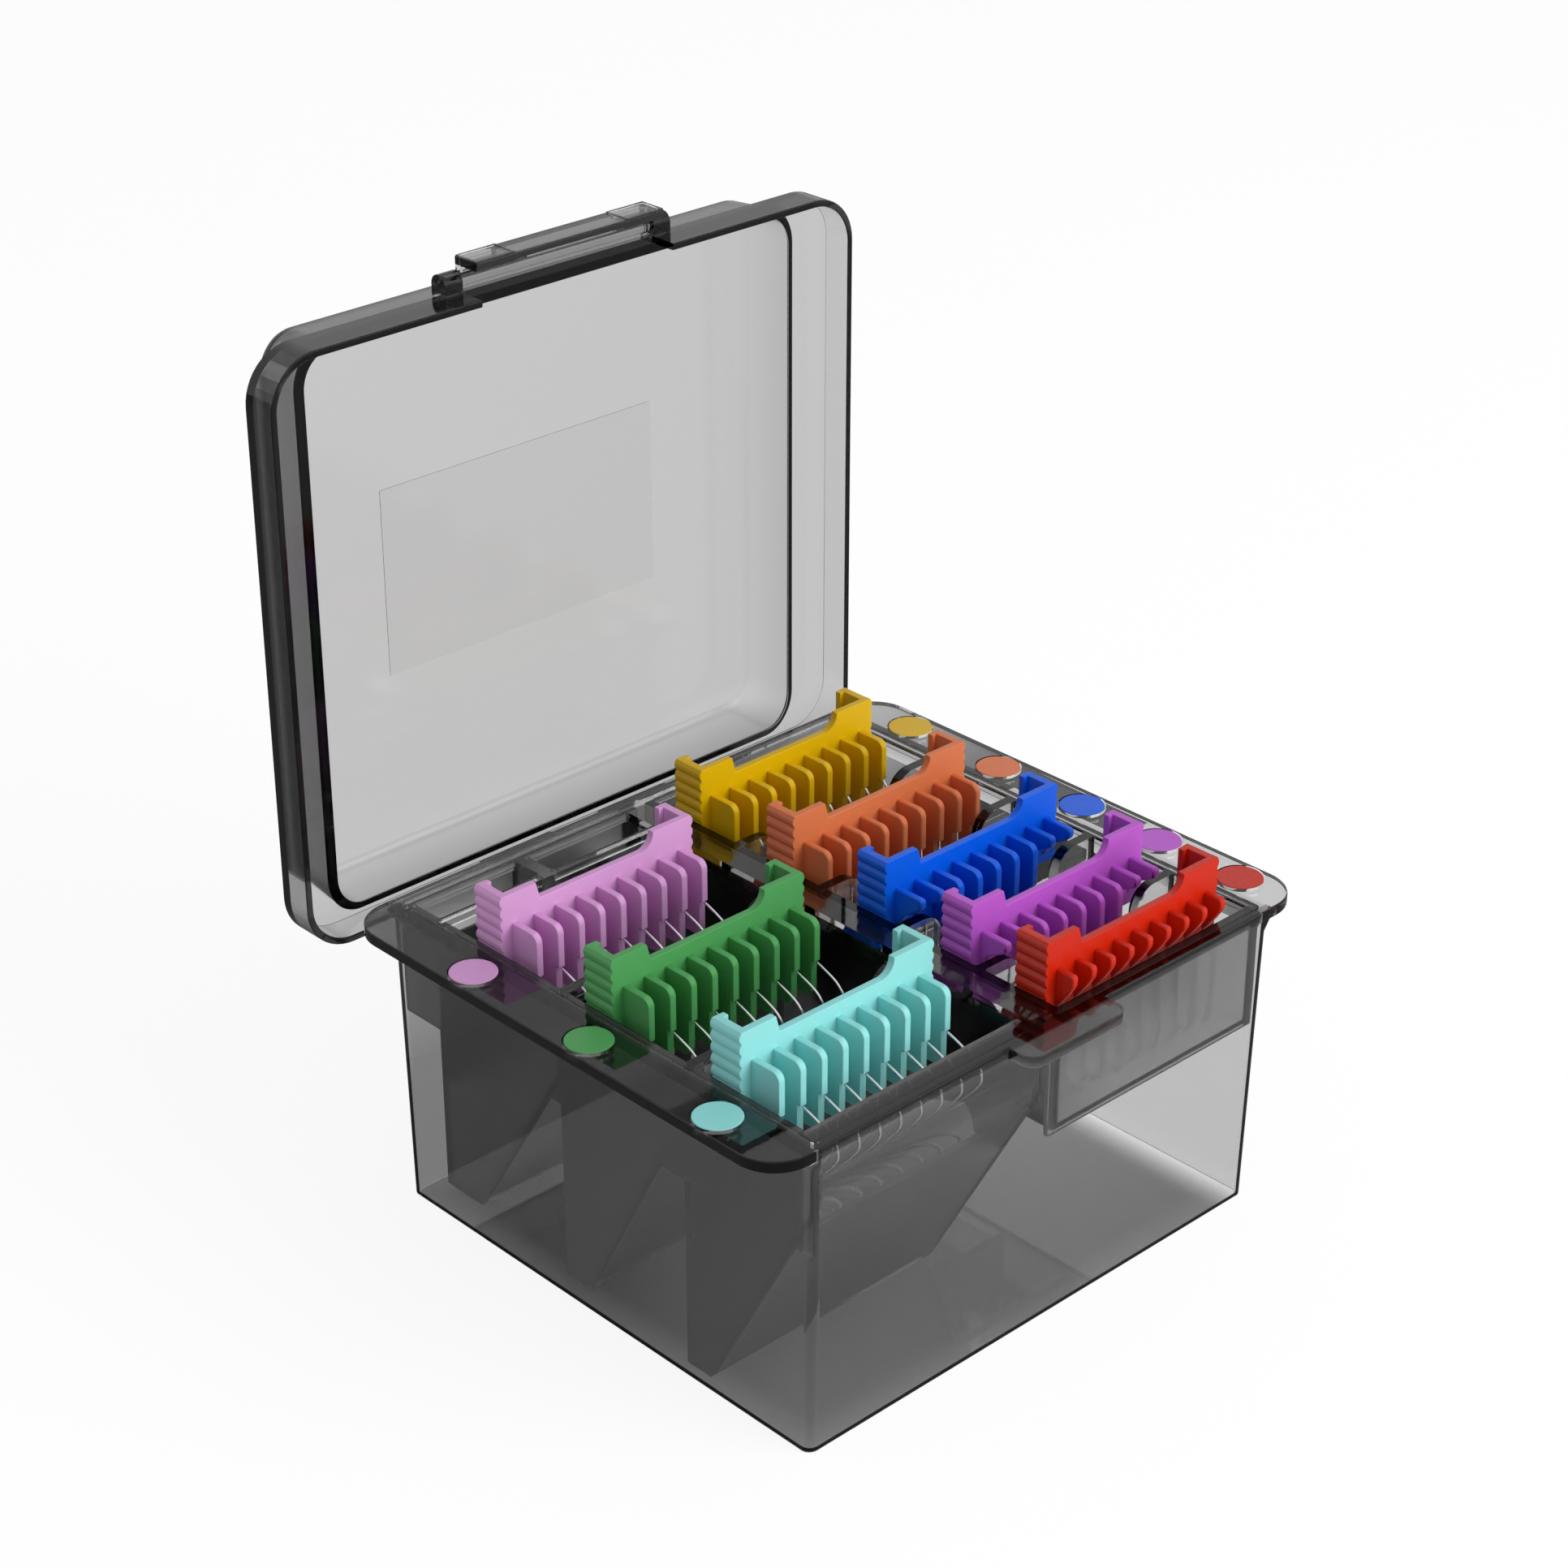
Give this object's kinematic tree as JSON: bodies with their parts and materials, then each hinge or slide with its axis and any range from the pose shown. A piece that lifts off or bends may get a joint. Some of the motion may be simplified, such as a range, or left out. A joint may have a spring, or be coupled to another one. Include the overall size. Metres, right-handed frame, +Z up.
{
  "type": "boxed guard comb set",
  "caption": "Smoke-clear hinged storage case with a lift-out insert holding coloured guard combs with steel wire tines, a front latch and colour dots on the rim.",
  "frame": {"origin": "centre of the case's underside, on the surface it stands on", "axes": "+X along the front from left to right, +Y from the front to the hinge at the back, +Z up"},
  "size_m": [0.1436, 0.1532, 0.1805],
  "materials": {
    "smoke_plastic": "clear smoke-grey moulded plastic, polished",
    "pin_steel": "drawn steel rod",
    "tine_steel": "bright round steel wire",
    "plastic_pink": "satin moulded pink plastic",
    "plastic_green": "satin moulded green plastic",
    "plastic_teal": "satin moulded teal plastic",
    "plastic_yellow": "satin moulded yellow plastic",
    "plastic_orange": "satin moulded orange plastic",
    "plastic_blue": "satin moulded blue plastic",
    "plastic_purple": "satin moulded purple plastic",
    "plastic_red": "satin moulded red plastic"
  },
  "bodies": {
    "case": {"case_base": "smoke_plastic", "hinge_pin": "pin_steel", "dot_pink": "plastic_pink", "dot_green": "plastic_green", "dot_teal": "plastic_teal", "dot_yellow": "plastic_yellow", "dot_orange": "plastic_orange", "dot_blue": "plastic_blue", "dot_purple": "plastic_purple", "dot_red": "plastic_red"},
    "lid": {"lid": "smoke_plastic"},
    "latch": {"latch": "smoke_plastic"},
    "insert": {"insert_pink": "smoke_plastic", "insert_green": "smoke_plastic", "insert_teal": "smoke_plastic", "insert_yellow": "smoke_plastic", "insert_orange": "smoke_plastic", "insert_blue": "smoke_plastic", "insert_purple": "smoke_plastic", "insert_red": "smoke_plastic"},
    "comb_pink": {"comb_pink": "plastic_pink", "tines_pink": "tine_steel"},
    "comb_green": {"comb_green": "plastic_green", "tines_green": "tine_steel"},
    "comb_teal": {"comb_teal": "plastic_teal", "tines_teal": "tine_steel"},
    "comb_yellow": {"comb_yellow": "plastic_yellow", "tines_yellow": "tine_steel"},
    "comb_orange": {"comb_orange": "plastic_orange", "tines_orange": "tine_steel"},
    "comb_blue": {"comb_blue": "plastic_blue", "tines_blue": "tine_steel"},
    "comb_purple": {"comb_purple": "plastic_purple", "tines_purple": "tine_steel"},
    "comb_red": {"comb_red": "plastic_red", "tines_red": "tine_steel"}
  },
  "joints": [
    {"name": "lid_hinge", "type": "hinge", "parent": "case", "child": "lid", "pos_m": [0, 0.061, 0.0525], "axis": [-1, 0, 0], "range_deg": [-90, 0]},
    {"name": "latch_hinge", "type": "hinge", "parent": "lid", "child": "latch", "pos_m": [0, 0.0757, 0.1758], "axis": [-1, 0, 0], "range_deg": [-4, 35]},
    {"name": "insert_lift", "type": "slide", "parent": "case", "child": "insert", "axis": [0, 0, 1], "range_m": [0, 0.07]},
    {"name": "pink_comb_lift", "type": "slide", "parent": "insert", "child": "comb_pink", "axis": [0, 0, 1], "range_m": [0, 0.065]},
    {"name": "green_comb_lift", "type": "slide", "parent": "insert", "child": "comb_green", "axis": [0, 0, 1], "range_m": [0, 0.065]},
    {"name": "teal_comb_lift", "type": "slide", "parent": "insert", "child": "comb_teal", "axis": [0, 0, 1], "range_m": [0, 0.065]},
    {"name": "yellow_comb_lift", "type": "slide", "parent": "insert", "child": "comb_yellow", "axis": [0, 0, 1], "range_m": [0, 0.03]},
    {"name": "orange_comb_lift", "type": "slide", "parent": "insert", "child": "comb_orange", "axis": [0, 0, 1], "range_m": [0, 0.03]},
    {"name": "blue_comb_lift", "type": "slide", "parent": "insert", "child": "comb_blue", "axis": [0, 0, 1], "range_m": [0, 0.03]},
    {"name": "purple_comb_lift", "type": "slide", "parent": "insert", "child": "comb_purple", "axis": [0, 0, 1], "range_m": [0, 0.03]},
    {"name": "red_comb_lift", "type": "slide", "parent": "insert", "child": "comb_red", "axis": [0, 0, 1], "range_m": [0, 0.03]}
  ]
}
